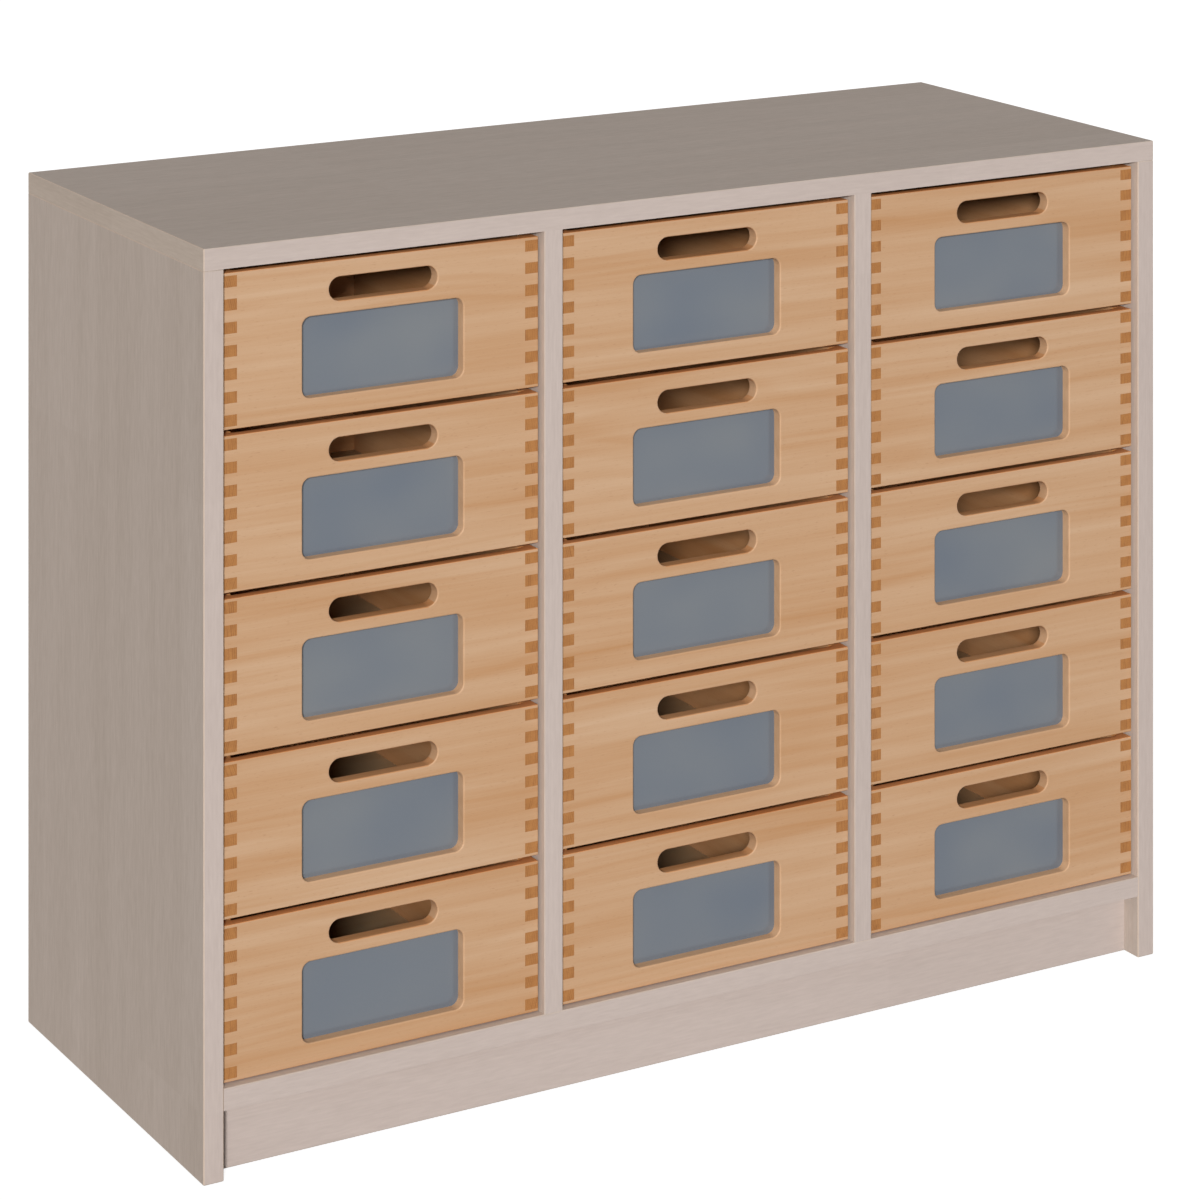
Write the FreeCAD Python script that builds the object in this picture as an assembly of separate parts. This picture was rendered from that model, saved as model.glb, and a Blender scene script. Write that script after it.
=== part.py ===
"""Classroom tray storage unit: a board carcass on a plinth, with columns of finger-jointed wooden drawers.

Each drawer hangs on two wooden runners that are screwed to the walls of its compartment and slide in stopped
grooves cut along the drawer's sides. The closed front end of a groove meets the front end of its runner, and
that stops the drawer when it is shut.

Frame: the origin is the middle of the footprint, on the floor. +X runs to the right along the front, the
drawer fronts face -Y and +Z is up. Lengths are in millimetres.
"""
import FreeCAD, Part
import os

# Carcass, overall
WIDTH = 1016.0
DEPTH = 400.0
HEIGHT = 798.0
COLUMNS = 3
ROWS = 5

# Carcass boards
BOARD = 19.0
PLINTH_HEIGHT = 60.0
PLINTH_SETBACK = 22.0
BACK_THICKNESS = 8.0
BACK_REBATE = 9.5

# Housings that join the carcass boards; a shoulder hides them from the front
HOUSING_DEPTH = 6.0
HOUSING_SHOULDER = 12.0
SIDE_TONGUE = 9.5

# Space round the drawers
DRAWER_SETBACK = 7.5
DRAWER_BACK_GAP = 27.5
SIDE_GAP = 2.2
FLOOR_GAP = 1.3
ROW_GAP = 5.2
TOP_GAP = 5.4

# Drawer boards and their joints
DRAWER_BOARD = 13.5
FINGER_COUNT = 7
FINGER_LAND = 2.6
LAP_DEPTH = 5.0
BOTTOM_THICKNESS = 4.0
BOTTOM_RISE = 4.0
BOTTOM_TONGUE = 5.0
BOTTOM_PLAY = 0.5

# Openings in a drawer front
SLOT_LENGTH = 106.0
SLOT_HEIGHT = 20.8
SLOT_DROP = 14.8
WINDOW_LENGTH = 157.5
WINDOW_RISE = 17.5
WINDOW_BELOW_SLOT = 10.8
WINDOW_RADIUS = 8.0

# Window pane, set in a rebate in the back of the front
PANE_THICKNESS = 3.0
PANE_SUNK = 0.2
PANE_LAP = 6.0
PANE_PLAY = 0.3

# Runners, and the grooves that slide on them
RUNNER_HEIGHT = 14.0
RUNNER_RISE = 60.0
RUNNER_BACK_GAP = 12.0
GROOVE_DEPTH = 5.0
GROOVE_STOP = 17.0
PLAY_ABOVE_RUNNER = 0.3
PLAY_BELOW_RUNNER = 0.7
PLAY_BESIDE_RUNNER = 0.5
STOP_PLAY = 0.3

# Places and sizes that follow from those above
FRONT = -DEPTH / 2
REAR = DEPTH / 2
BACK_FACE = REAR - BACK_THICKNESS
INNER_WALL = WIDTH / 2 - BOARD
COMPARTMENT = (2 * INNER_WALL - (COLUMNS - 1) * BOARD) / COLUMNS
BASE_TOP = PLINTH_HEIGHT + BOARD
TOP_UNDERSIDE = HEIGHT - BOARD
HOUSED = (FRONT + HOUSING_SHOULDER, BACK_FACE)
DRAWER_FACE = FRONT + DRAWER_SETBACK
DRAWER_LENGTH = BACK_FACE - DRAWER_BACK_GAP - DRAWER_FACE
DRAWER_WIDTH = COMPARTMENT - 2 * SIDE_GAP
DRAWER_HEIGHT = (TOP_UNDERSIDE - BASE_TOP - FLOOR_GAP - TOP_GAP - (ROWS - 1) * ROW_GAP) / ROWS
DRAWER_INSIDE = DRAWER_WIDTH - 2 * DRAWER_BOARD
DRAWER_REAR = (DRAWER_LENGTH - DRAWER_BOARD, DRAWER_LENGTH)
FINGER = (DRAWER_HEIGHT - 2 * FINGER_LAND) / (2 * FINGER_COUNT - 1)
BOTTOM_TOP = BOTTOM_RISE + BOTTOM_THICKNESS
BOTTOM_FRONT = DRAWER_BOARD - BOTTOM_TONGUE
SLOT_MIDDLE = DRAWER_HEIGHT - SLOT_DROP - SLOT_HEIGHT / 2
WINDOW_TOP = SLOT_MIDDLE - SLOT_HEIGHT / 2 - WINDOW_BELOW_SLOT
PANE_FACE = DRAWER_BOARD - PANE_SUNK - PANE_THICKNESS


def block(x, y, z):
    """A box from its (low, high) pair along each axis."""
    return Part.makeBox(x[1] - x[0], y[1] - y[0], z[1] - z[0], FreeCAD.Vector(x[0], y[0], z[0]))


def prism(outline, push):
    """A closed outline of points, extruded along a vector."""
    return Part.Face(Part.makePolygon(outline + outline[:1])).extrude(push)


def mirrored(shape):
    """The same shape on the other side of the middle plane."""
    return shape.mirror(FreeCAD.Vector(0, 0, 0), FreeCAD.Vector(1, 0, 0))


def compartment_left(column):
    """X of a compartment's left wall, counted from the left."""
    return -INNER_WALL + column * (COMPARTMENT + BOARD)


def drawer_floor(row):
    """Z of the lower edge of the drawers in a row, counted from the bottom."""
    return BASE_TOP + FLOOR_GAP + row * (DRAWER_HEIGHT + ROW_GAP)


# Carcass


def side_tongue():
    """The tongue on the left side's top end: the inner part of its thickness."""
    return block((-INNER_WALL - SIDE_TONGUE, -INNER_WALL), HOUSED, (TOP_UNDERSIDE, TOP_UNDERSIDE + HOUSING_DEPTH))


def base_tongue():
    """The base's left end, which is let into the left side."""
    return block((-INNER_WALL - HOUSING_DEPTH, -INNER_WALL), HOUSED, (PLINTH_HEIGHT, BASE_TOP))


def divider_core(index):
    """The part of a divider that is let into the base and the top, counted from the left."""
    right = compartment_left(index + 1)
    return block((right - BOARD, right), HOUSED, (BASE_TOP - HOUSING_DEPTH, TOP_UNDERSIDE + HOUSING_DEPTH))


def divider_housings():
    """The cutters for the housings of every divider."""
    return [divider_core(index) for index in range(COLUMNS - 1)]


def side_panel():
    """The left side: from the floor to the top, rebated for the back."""
    panel = block((-WIDTH / 2, -INNER_WALL), (FRONT, REAR), (0, TOP_UNDERSIDE))
    back_seat = block((-INNER_WALL - BACK_REBATE, -INNER_WALL), (BACK_FACE, REAR), (PLINTH_HEIGHT, TOP_UNDERSIDE))
    return panel.cut([back_seat, base_tongue()]).fuse(side_tongue()).removeSplitter()


def top_panel():
    """The top, which lies over both sides and is rebated for the back."""
    panel = block((-WIDTH / 2, WIDTH / 2), (FRONT, REAR), (TOP_UNDERSIDE, HEIGHT))
    half = INNER_WALL + BACK_REBATE
    back_seat = block((-half, half), (BACK_FACE, REAR), (TOP_UNDERSIDE, TOP_UNDERSIDE + BACK_REBATE))
    return panel.cut([back_seat, side_tongue(), mirrored(side_tongue())] + divider_housings())


def base_panel():
    """The floor under the lowest drawers, between the sides."""
    panel = block((-INNER_WALL, INNER_WALL), (FRONT, BACK_FACE), (PLINTH_HEIGHT, BASE_TOP))
    return panel.fuse([base_tongue(), mirrored(base_tongue())]).removeSplitter().cut(divider_housings())


def divider(index):
    """An upright between two columns, with its front edge flush with the sides."""
    right = compartment_left(index + 1)
    edge = block((right - BOARD, right), (FRONT, BACK_FACE), (BASE_TOP, TOP_UNDERSIDE))
    return edge.fuse(divider_core(index)).removeSplitter()


def back_panel():
    """The thin back, seated in the rebates of the sides and the top, over the base's rear edge."""
    half = INNER_WALL + BACK_REBATE
    return block((-half, half), (BACK_FACE, REAR), (PLINTH_HEIGHT, TOP_UNDERSIDE + BACK_REBATE))


def plinth_rail():
    """The front rail under the base, from side to side."""
    face = FRONT + PLINTH_SETBACK
    return block((-INNER_WALL, INNER_WALL), (face, face + BOARD), (0, PLINTH_HEIGHT))


def column_runners(column):
    """The runners on both walls of a compartment, one pair for each drawer."""
    along = (DRAWER_FACE + GROOVE_STOP + STOP_PLAY, BACK_FACE - RUNNER_BACK_GAP)
    proud = SIDE_GAP + GROOVE_DEPTH - PLAY_BESIDE_RUNNER
    left = compartment_left(column)
    right = left + COMPARTMENT
    strips = []
    for row in range(ROWS):
        low = drawer_floor(row) + RUNNER_RISE
        strips.append(block((left, left + proud), along, (low, low + RUNNER_HEIGHT)))
        strips.append(block((right - proud, right), along, (low, low + RUNNER_HEIGHT)))
    return Part.makeCompound(strips)


# Drawer, in its own frame: centred on X, face at Y = 0, lower edge at Z = 0


def finger_levels():
    """The (low, high) pair in Z of each finger of a side board, from the bottom."""
    starts = [FINGER_LAND + 2 * FINGER * index for index in range(FINGER_COUNT)]
    return [(start, start + FINGER) for start in starts]


def comb_edge(tip, root):
    """(u, z) points up a comb edge that reaches out to tip at each finger and lies at root between them."""
    points = [(root, 0)]
    for low, high in finger_levels():
        points += [(root, low), (tip, low), (tip, high), (root, high)]
    return points + [(root, DRAWER_HEIGHT)]


def slot_plug():
    """The bar that cuts the handle slot, with full-round ends."""
    radius = SLOT_HEIGHT / 2
    reach = SLOT_LENGTH / 2 - radius
    low, high = SLOT_MIDDLE - radius, SLOT_MIDDLE + radius
    left, right = [[FreeCAD.Vector(side * reach, 0, low),
                    FreeCAD.Vector(side * (reach + radius), 0, SLOT_MIDDLE),
                    FreeCAD.Vector(side * reach, 0, high)] for side in (-1, 1)]
    edges = [Part.Arc(*left).toShape(), Part.makeLine(left[2], right[2]),
             Part.Arc(*right[::-1]).toShape(), Part.makeLine(right[0], left[0])]
    return Part.Face(Part.Wire(edges)).extrude(FreeCAD.Vector(0, DRAWER_BOARD, 0))


def window_plug():
    """The block that cuts the window, with rounded corners."""
    plug = block((-WINDOW_LENGTH / 2, WINDOW_LENGTH / 2), (0, DRAWER_BOARD), (WINDOW_RISE, WINDOW_TOP))
    corners = [edge for edge in plug.Edges if edge.BoundBox.YLength > DRAWER_BOARD / 2]
    return plug.makeFillet(WINDOW_RADIUS, corners)


def pane_rebate():
    """The seat cut round the window in the back of the front."""
    half = WINDOW_LENGTH / 2 + PANE_LAP
    return block((-half, half), (PANE_FACE, DRAWER_BOARD), (WINDOW_RISE - PANE_LAP, WINDOW_TOP + PANE_LAP))


def window_pane():
    """The pane behind the window, against the floor of its rebate."""
    inset = PANE_LAP - PANE_PLAY
    half = WINDOW_LENGTH / 2 + inset
    return block((-half, half), (PANE_FACE, PANE_FACE + PANE_THICKNESS), (WINDOW_RISE - inset, WINDOW_TOP + inset))


def drawer_front():
    """The front: a comb at both ends, with the handle slot, the window and a groove for the bottom."""
    right = comb_edge(DRAWER_INSIDE / 2, DRAWER_WIDTH / 2)
    left = [(-x, z) for x, z in reversed(right)]
    outline = [FreeCAD.Vector(x, 0, z) for x, z in right + left]
    board = prism(outline, FreeCAD.Vector(0, DRAWER_BOARD, 0))
    half = DRAWER_INSIDE / 2 + BOTTOM_TONGUE
    groove = block((-half, half), (BOTTOM_FRONT, DRAWER_BOARD), (BOTTOM_RISE, BOTTOM_TOP))
    return board.cut([slot_plug(), window_plug(), pane_rebate(), groove])


def drawer_side():
    """The left side board: fingers at the front, a lap at the rear and a groove in each face."""
    outer = -DRAWER_WIDTH / 2
    inner = -DRAWER_INSIDE / 2
    outline = comb_edge(0, DRAWER_BOARD) + [(DRAWER_LENGTH, DRAWER_HEIGHT), (DRAWER_LENGTH, 0)]
    board = prism([FreeCAD.Vector(outer, y, z) for y, z in outline], FreeCAD.Vector(DRAWER_BOARD, 0, 0))
    runner_groove = block((outer, outer + GROOVE_DEPTH), (GROOVE_STOP, DRAWER_LENGTH),
                          (RUNNER_RISE - PLAY_BELOW_RUNNER, RUNNER_RISE + RUNNER_HEIGHT + PLAY_ABOVE_RUNNER))
    bottom_groove = block((inner - BOTTOM_TONGUE, inner), (BOTTOM_FRONT, DRAWER_LENGTH), (BOTTOM_RISE, BOTTOM_TOP))
    lap = block((inner - LAP_DEPTH, inner), DRAWER_REAR, (BOTTOM_TOP, DRAWER_HEIGHT))
    return board.cut([runner_groove, bottom_groove, lap])


def drawer_back():
    """The rear board, lapped into both sides and standing on the bottom."""
    half = DRAWER_INSIDE / 2 + LAP_DEPTH
    return block((-half, half), DRAWER_REAR, (BOTTOM_TOP, DRAWER_HEIGHT))


def drawer_bottom():
    """The plywood bottom, slid in from the rear along the grooves."""
    half = DRAWER_INSIDE / 2 + BOTTOM_TONGUE - BOTTOM_PLAY
    return block((-half, half), (BOTTOM_FRONT + BOTTOM_PLAY, DRAWER_LENGTH), (BOTTOM_RISE, BOTTOM_TOP))


def drawer_nodes():
    """The nodes of one drawer."""
    side = drawer_side()
    box = Part.makeCompound([side, mirrored(side), drawer_back(), drawer_bottom()])
    return {"front": drawer_front(), "box": box, "pane": window_pane()}


def carcass_nodes():
    """Every node of the fixed carcass."""
    side = side_panel()
    rail = plinth_rail()
    nodes = {
        "top_panel": top_panel(),
        "side_panel_left": side,
        "side_panel_right": mirrored(side),
        "base_panel": base_panel(),
        "back_panel": back_panel(),
        "plinth_rail_front": rail,
        "plinth_rail_rear": rail.mirror(FreeCAD.Vector(0, 0, 0), FreeCAD.Vector(0, 1, 0)),
    }
    for index in range(COLUMNS - 1):
        nodes[f"divider_{index + 1}"] = divider(index)
    for column in range(COLUMNS):
        nodes[f"runners_column_{chr(ord('a') + column)}"] = column_runners(column)
    return nodes


def main():
    """Builds every node and writes one STEP file for each."""
    nodes = carcass_nodes()
    pieces = drawer_nodes()
    for column in range(COLUMNS):
        middle = compartment_left(column) + COMPARTMENT / 2
        for row in range(ROWS):
            drawer = f"drawer_{chr(ord('a') + column)}{ROWS - row}"
            place = FreeCAD.Vector(middle, DRAWER_FACE, drawer_floor(row))
            for name, shape in pieces.items():
                nodes[f"{drawer}_{name}"] = shape.translated(place)
    os.makedirs("parts", exist_ok=True)
    for name, shape in nodes.items():
        shape.exportStep(f"parts/{name}.step")
    print(len(nodes), "nodes")


main()
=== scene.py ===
"""Looks of a classroom tray storage unit: a board carcass with three columns of finger-jointed beech drawers.

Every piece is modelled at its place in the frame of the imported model: the origin is the middle of the
footprint, +X runs to the right along the fronts, the fronts face -Y and +Z is up. Sizes are in millimetres.
"""

import logging
import math
import random
from dataclasses import dataclass
from enum import Enum
from typing import Callable, Iterable, Sequence

import bmesh
import bpy
from mathutils import Matrix, Vector


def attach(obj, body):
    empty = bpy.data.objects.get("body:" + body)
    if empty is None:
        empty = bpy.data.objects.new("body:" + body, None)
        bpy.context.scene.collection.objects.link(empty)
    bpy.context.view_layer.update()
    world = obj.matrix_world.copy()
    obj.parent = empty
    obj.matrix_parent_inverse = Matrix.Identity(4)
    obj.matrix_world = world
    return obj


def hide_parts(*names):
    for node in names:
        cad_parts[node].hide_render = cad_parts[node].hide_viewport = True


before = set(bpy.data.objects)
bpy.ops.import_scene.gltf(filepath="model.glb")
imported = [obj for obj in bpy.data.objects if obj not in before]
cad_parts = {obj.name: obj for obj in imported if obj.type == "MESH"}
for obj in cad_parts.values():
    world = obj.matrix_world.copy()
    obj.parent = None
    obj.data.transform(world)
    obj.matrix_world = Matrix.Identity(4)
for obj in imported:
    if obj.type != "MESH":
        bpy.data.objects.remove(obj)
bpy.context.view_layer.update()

LOG = logging.getLogger("tray_unit")
CARCASS_BODY = "carcass"
GRAIN = "grain"
MM = 0.001
# In millimetres: how near a level an edge lies in it, how near two corners are one, how far a cutter reaches
# out of the face that it opens, and the margin round a shape whose faces or edges are looked for. The cutter
# of a screw's recess reaches out by that margin too.
NEAR, HAIR, PAST, MARGIN = 0.02, 0.002, 2.0, 1.0
# In degrees: an edge sharper than the first is an arris, one less sharp than the second is shaded smooth, and
# one less sharp than the third is only a scored line.
ARRIS_ANGLE, SMOOTH_ANGLE, FLAT_ANGLE = 50, 40, 0.5
# How much of a normal lies along an axis: where its face looks that way, where it is square to the axis, and
# where it leans that way at all.
FACING, SQUARE, LEANING = 0.9, 0.98, 0.1
# The steps in a round: in an arris, in a thin one, and in the corner of an opening.
STEPS, FEW_STEPS, CORNER_STEPS = 3, 2, 10

Piece = bpy.types.Object
Tree = bpy.types.NodeTree
Socket = bpy.types.NodeSocket
Outputs = bpy.types.bpy_prop_collection
Span = tuple[float, float]
Test = Callable[[Vector, Vector], bool]


class Axis(Enum):
    """An axis of the frame."""

    X = 0
    Y = 1
    Z = 2

    @property
    def direction(self) -> Vector:
        """Its direction."""
        return Vector([float(self.value == index) for index in range(3)])


X, Y, Z = Axis


class Wall(Enum):
    """The side of a drawer or compartment, as the sign of its X."""

    LEFT = -1
    RIGHT = 1


class Select(Enum):
    """What is picked in edit mode."""

    FACES = "FACE"
    EDGES = "EDGE"


class Board(Enum):
    """A board of a drawer: what its copies' names end with, the record's slot of its finish, and its node."""

    FRONT = "front_board", "drawer_beech", "front"
    LEFT = "left_side", "drawer_sides", "box"
    RIGHT = "right_side", "drawer_sides", "box"
    REAR = "rear_board", "drawer_sides", "box"
    BOTTOM = "bottom_board", "drawer_sides", "box"
    PANE = "pane_sheet", "window_pane", "pane"


@dataclass(frozen=True)
class Block:
    """A box, as its (low, high) pair along each axis; a cutter may be rounded along Y."""

    x: Span
    y: Span
    z: Span
    radius: float = 0.0

    def middle(self) -> Vector:
        """Its centre."""
        return Vector([(low + high) / 2 for low, high in (self.x, self.y, self.z)])

    def size(self) -> Vector:
        """Its length along each axis."""
        return Vector([high - low for low, high in (self.x, self.y, self.z)])


@dataclass(frozen=True)
class Spot:
    """A face or edge that may be picked: its reach along each axis, and whether it is an arris."""

    low: Vector
    high: Vector
    middle: Vector
    arris: bool

    def lies(self, axis: Axis, *levels: float) -> bool:
        """Whether it lies in one of the planes that cross an axis at these levels."""
        ends = self.low[axis.value], self.high[axis.value]
        return any(all(abs(end - level) < NEAR for end in ends) for level in levels)


Wanted = Callable[[Spot], bool]


def leave_edit_mode() -> None:
    """Goes back to object mode with nothing selected."""
    if bpy.context.mode != "OBJECT":
        bpy.ops.object.mode_set(mode="OBJECT")
    bpy.ops.object.select_all(action="DESELECT")


def activate(piece: Piece) -> None:
    """Makes a piece the only one selected, and the active one.

    Args:
        piece: The piece.
    """
    leave_edit_mode()
    piece.select_set(True)
    bpy.context.view_layer.objects.active = piece


class Bench:
    """A piece that is being shaped: a primitive at its size and place, worked on in edit mode."""

    def __init__(self, piece: Piece) -> None:
        """Puts a piece on the bench."""
        self.piece = piece

    @classmethod
    def stocked(cls, name: str, stock: Block) -> "Bench":
        """A bench with a new block on it, in edit mode.

        Args:
            name: The name of the piece.
            stock: The block that it is made from.

        Returns:
            The bench.
        """
        leave_edit_mode()
        bpy.ops.mesh.primitive_cube_add(size=1.0, location=stock.middle() * MM)
        bench = cls(bpy.context.object)
        bench.piece.name = name
        bench.piece.scale = stock.size() * MM
        bpy.ops.object.transform_apply(location=True, rotation=True, scale=True)
        bpy.ops.object.mode_set(mode="EDIT")
        return bench

    def open(self) -> None:
        """Takes the piece into edit mode."""
        activate(self.piece)
        bpy.ops.object.mode_set(mode="EDIT")

    def pick(self, kind: Select, wanted: Wanted) -> None:
        """Selects the faces or edges that are wanted, and nothing else.

        Args:
            kind: Whether faces or edges are picked.
            wanted: Says of each one whether it is wanted.
        """
        bpy.ops.mesh.select_mode(type=kind.value)
        bpy.ops.mesh.select_all(action="DESELECT")
        mesh = bmesh.from_edit_mesh(self.piece.data)
        mesh.normal_update()
        for item in mesh.faces if kind is Select.FACES else mesh.edges:
            corners = [vertex.co / MM for vertex in item.verts]
            low, high = [Vector([end(parts) for parts in zip(*corners)]) for end in (min, max)]
            if kind is Select.FACES:
                spot = Spot(low, high, item.calc_center_median() / MM, False)
            else:
                arris = item.is_manifold and item.calc_face_angle(0.0) > math.radians(ARRIS_ANGLE)
                spot = Spot(low, high, (low + high) / 2, arris)
            if wanted(spot):
                item.select_set(True)
        bmesh.update_edit_mesh(self.piece.data)

    def split(self, axis: Axis, levels: Iterable[float]) -> None:
        """Scores the piece all round with planes across an axis.

        Args:
            axis: The axis.
            levels: Where the planes cross it.
        """
        for level in levels:
            bpy.ops.mesh.select_all(action="SELECT")
            bpy.ops.mesh.bisect(plane_co=axis.direction * level * MM, plane_no=axis.direction)

    def pull(self, wanted: Wanted, move: Sequence[float]) -> None:
        """Extrudes the wanted faces by a move along each axis."""
        self.pick(Select.FACES, wanted)
        bpy.ops.mesh.extrude_region_move(TRANSFORM_OT_translate={"value": Vector(move) * MM})

    def clean(self) -> None:
        """Merges doubles and clears the scored lines that no longer bound a face."""
        bpy.ops.mesh.select_all(action="SELECT")
        bpy.ops.mesh.remove_doubles(threshold=HAIR * MM)
        bpy.ops.mesh.select_all(action="SELECT")
        bpy.ops.mesh.dissolve_limited(angle_limit=math.radians(FLAT_ANGLE))

    def soften(self, wanted: Wanted, radius: float, segments: int = STEPS) -> None:
        """Rounds the wanted arrises, in a number of steps."""
        self.pick(Select.EDGES, lambda spot: spot.arris and wanted(spot))
        bpy.ops.mesh.bevel(offset=radius * MM, segments=segments, affect="EDGES", clamp_overlap=False,
                           loop_slide=False)

    def cut(self, *cutters: Piece) -> None:
        """Cuts the piece with other solids, which are used up.

        Args:
            cutters: The solids to take away.
        """
        for cutter in cutters:
            activate(self.piece)
            modifier = self.piece.modifiers.new("cut", "BOOLEAN")
            modifier.operation = "DIFFERENCE"
            modifier.solver = "EXACT"
            modifier.object = cutter
            bpy.ops.object.modifier_apply(modifier=modifier.name)
            bpy.data.meshes.remove(cutter.data)
        self.open()
        self.clean()

    def carve(self, *blocks: Block) -> None:
        """Cuts boxes out of the piece."""
        self.cut(*[cutter_of(block) for block in blocks])

    def done(self) -> Piece:
        """Takes the piece off the bench.

        Returns:
            The piece, in object mode, with flat faces that stay flat beside their rounded arrises.
        """
        activate(self.piece)
        bpy.ops.object.shade_smooth_by_angle(angle=math.radians(SMOOTH_ANGLE))
        modifier = self.piece.modifiers.new("flat_faces", "WEIGHTED_NORMAL")
        modifier.keep_sharp = True
        bpy.ops.object.modifier_apply(modifier=modifier.name)
        leave_edit_mode()
        return self.piece


def cutter_of(block: Block) -> Piece:
    """A solid to cut with.

    Args:
        block: The box that it fills.

    Returns:
        The cutter, in object mode.
    """
    bench = Bench.stocked("cutter", block)
    if block.radius:
        bench.soften(lambda spot: spot.high.y - spot.low.y > block.size().y / 2, block.radius, CORNER_STEPS)
    leave_edit_mode()
    return bench.piece


def eased(name: str, stock: Block, wanted: Wanted, radius: float, segments: int = STEPS) -> Piece:
    """Makes a plain board: a block with rounded arrises.

    Args:
        name: The name of the piece.
        stock: The block.
        wanted: Says of each arris whether it is rounded.
        radius: The radius of the round.
        segments: The number of steps in it.

    Returns:
        The board.
    """
    bench = Bench.stocked(name, stock)
    bench.soften(wanted, radius, segments)
    return bench.done()


def copy_of(piece: Piece, name: str, move: Sequence[float] = (0, 0, 0)) -> Piece:
    """A copy of a piece, with its own mesh, at another place.

    Args:
        piece: The piece to copy.
        name: The name of the copy.
        move: How far it stands from the original.

    Returns:
        The copy.
    """
    twin = piece.copy()
    twin.data = piece.data.copy()
    twin.name = twin.data.name = name
    twin.data.transform(Matrix.Translation(Vector(move) * MM))
    bpy.context.scene.collection.objects.link(twin)
    return twin


def mirror_of(piece: Piece, name: str, plane: float = 0.0) -> Piece:
    """A mirror image of a piece, with its faces outwards.

    Args:
        piece: The piece.
        name: The name of its image.
        plane: X of the mirror.

    Returns:
        The image.
    """
    twin = copy_of(piece, name, (-plane, 0, 0))
    twin.data.transform(Matrix.Scale(-1, 4, (1, 0, 0)))
    twin.data.flip_normals()
    twin.data.transform(Matrix.Translation((plane * MM, 0, 0)))
    return twin


def joined(pieces: Sequence[Piece], name: str) -> Piece:
    """Joins pieces into one.

    Args:
        pieces: The pieces, of which the first keeps the rest.
        name: The name of the whole.

    Returns:
        The whole.
    """
    activate(pieces[0])
    for piece in pieces[1:]:
        piece.select_set(True)
    bpy.ops.object.join()
    pieces[0].name = pieces[0].data.name = name
    leave_edit_mode()
    return pieces[0]


# Materials


def linear(hex_colour: str) -> tuple[float, float, float, float]:
    """Turns an sRGB hex colour into the linear one that a shader takes.

    Args:
        hex_colour: The colour, as in "#C6A07D".

    Returns:
        Red, green, blue and an alpha of 1.
    """
    parts = [int(hex_colour[start:start + 2], 16) / 255 for start in (1, 3, 5)]
    red, green, blue = [part / 12.92 if part <= 0.04045 else ((part + 0.055) / 1.055) ** 2.4
                        for part in parts]
    return red, green, blue, 1.0


def add_node(tree: Tree, kind: str, inputs: dict | None = None, **settings: object) -> Outputs:
    """Adds a shader node to a tree.

    Args:
        tree: The tree.
        kind: The node's type, without the word that all of them begin with.
        inputs: For each input, by name or number, its value or the output that feeds it.
        settings: The node's other settings.

    Returns:
        The node's outputs, by name or number.
    """
    made = tree.nodes.new("ShaderNode" + kind)
    for name, value in settings.items():
        setattr(made, name, value)
    for key, value in (inputs or {}).items():
        if isinstance(value, Socket):
            tree.links.new(value, made.inputs[key])
        else:
            made.inputs[key].default_value = value
    return made.outputs


def object_place(tree: Tree) -> Socket:
    """The place in the object's own coordinates, in millimetres."""
    place = add_node(tree, "TexCoord")["Object"]
    return add_node(tree, "VectorMath", {0: place, 1: (1 / MM,) * 3}, operation="MULTIPLY")[0]


def streaks(tree: Tree, place: Socket, length: float, width: float, detail: float = 2.0) -> Socket:
    """Soft streaks that follow the grain.

    Args:
        tree: The material's tree.
        place: Where in the grain a point lies.
        length: How long a streak is.
        width: How wide it is.
        detail: How many finer layers it has.

    Returns:
        Values round 0, mostly from -0.5 to 0.5.
    """
    scale = (1 / length, 1 / width, 1 / width)
    spread = add_node(tree, "VectorMath", {0: place, 1: scale}, operation="MULTIPLY")[0]
    cloud = add_node(tree, "TexNoise", {"Vector": spread, "Scale": 1.0, "Detail": detail,
                                        "Roughness": 0.55})[0]
    return add_node(tree, "MapRange", {0: cloud, 1: 0.25, 2: 0.75, 3: -0.5, 4: 0.5}, clamp=False)[0]


def weighed(tree: Tree, start: float, *parts: tuple[Socket, float]) -> Socket:
    """A value to start with and the sum of patterns, each times its weight.

    Args:
        tree: The material's tree.
        start: The value.
        parts: Each pattern with its weight.

    Returns:
        The sum.
    """
    total: Socket | float = start
    for pattern, weight in parts:
        total = add_node(tree, "Math", {0: pattern, 1: weight, 2: total}, operation="MULTIPLY_ADD")[0]
    return total


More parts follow.
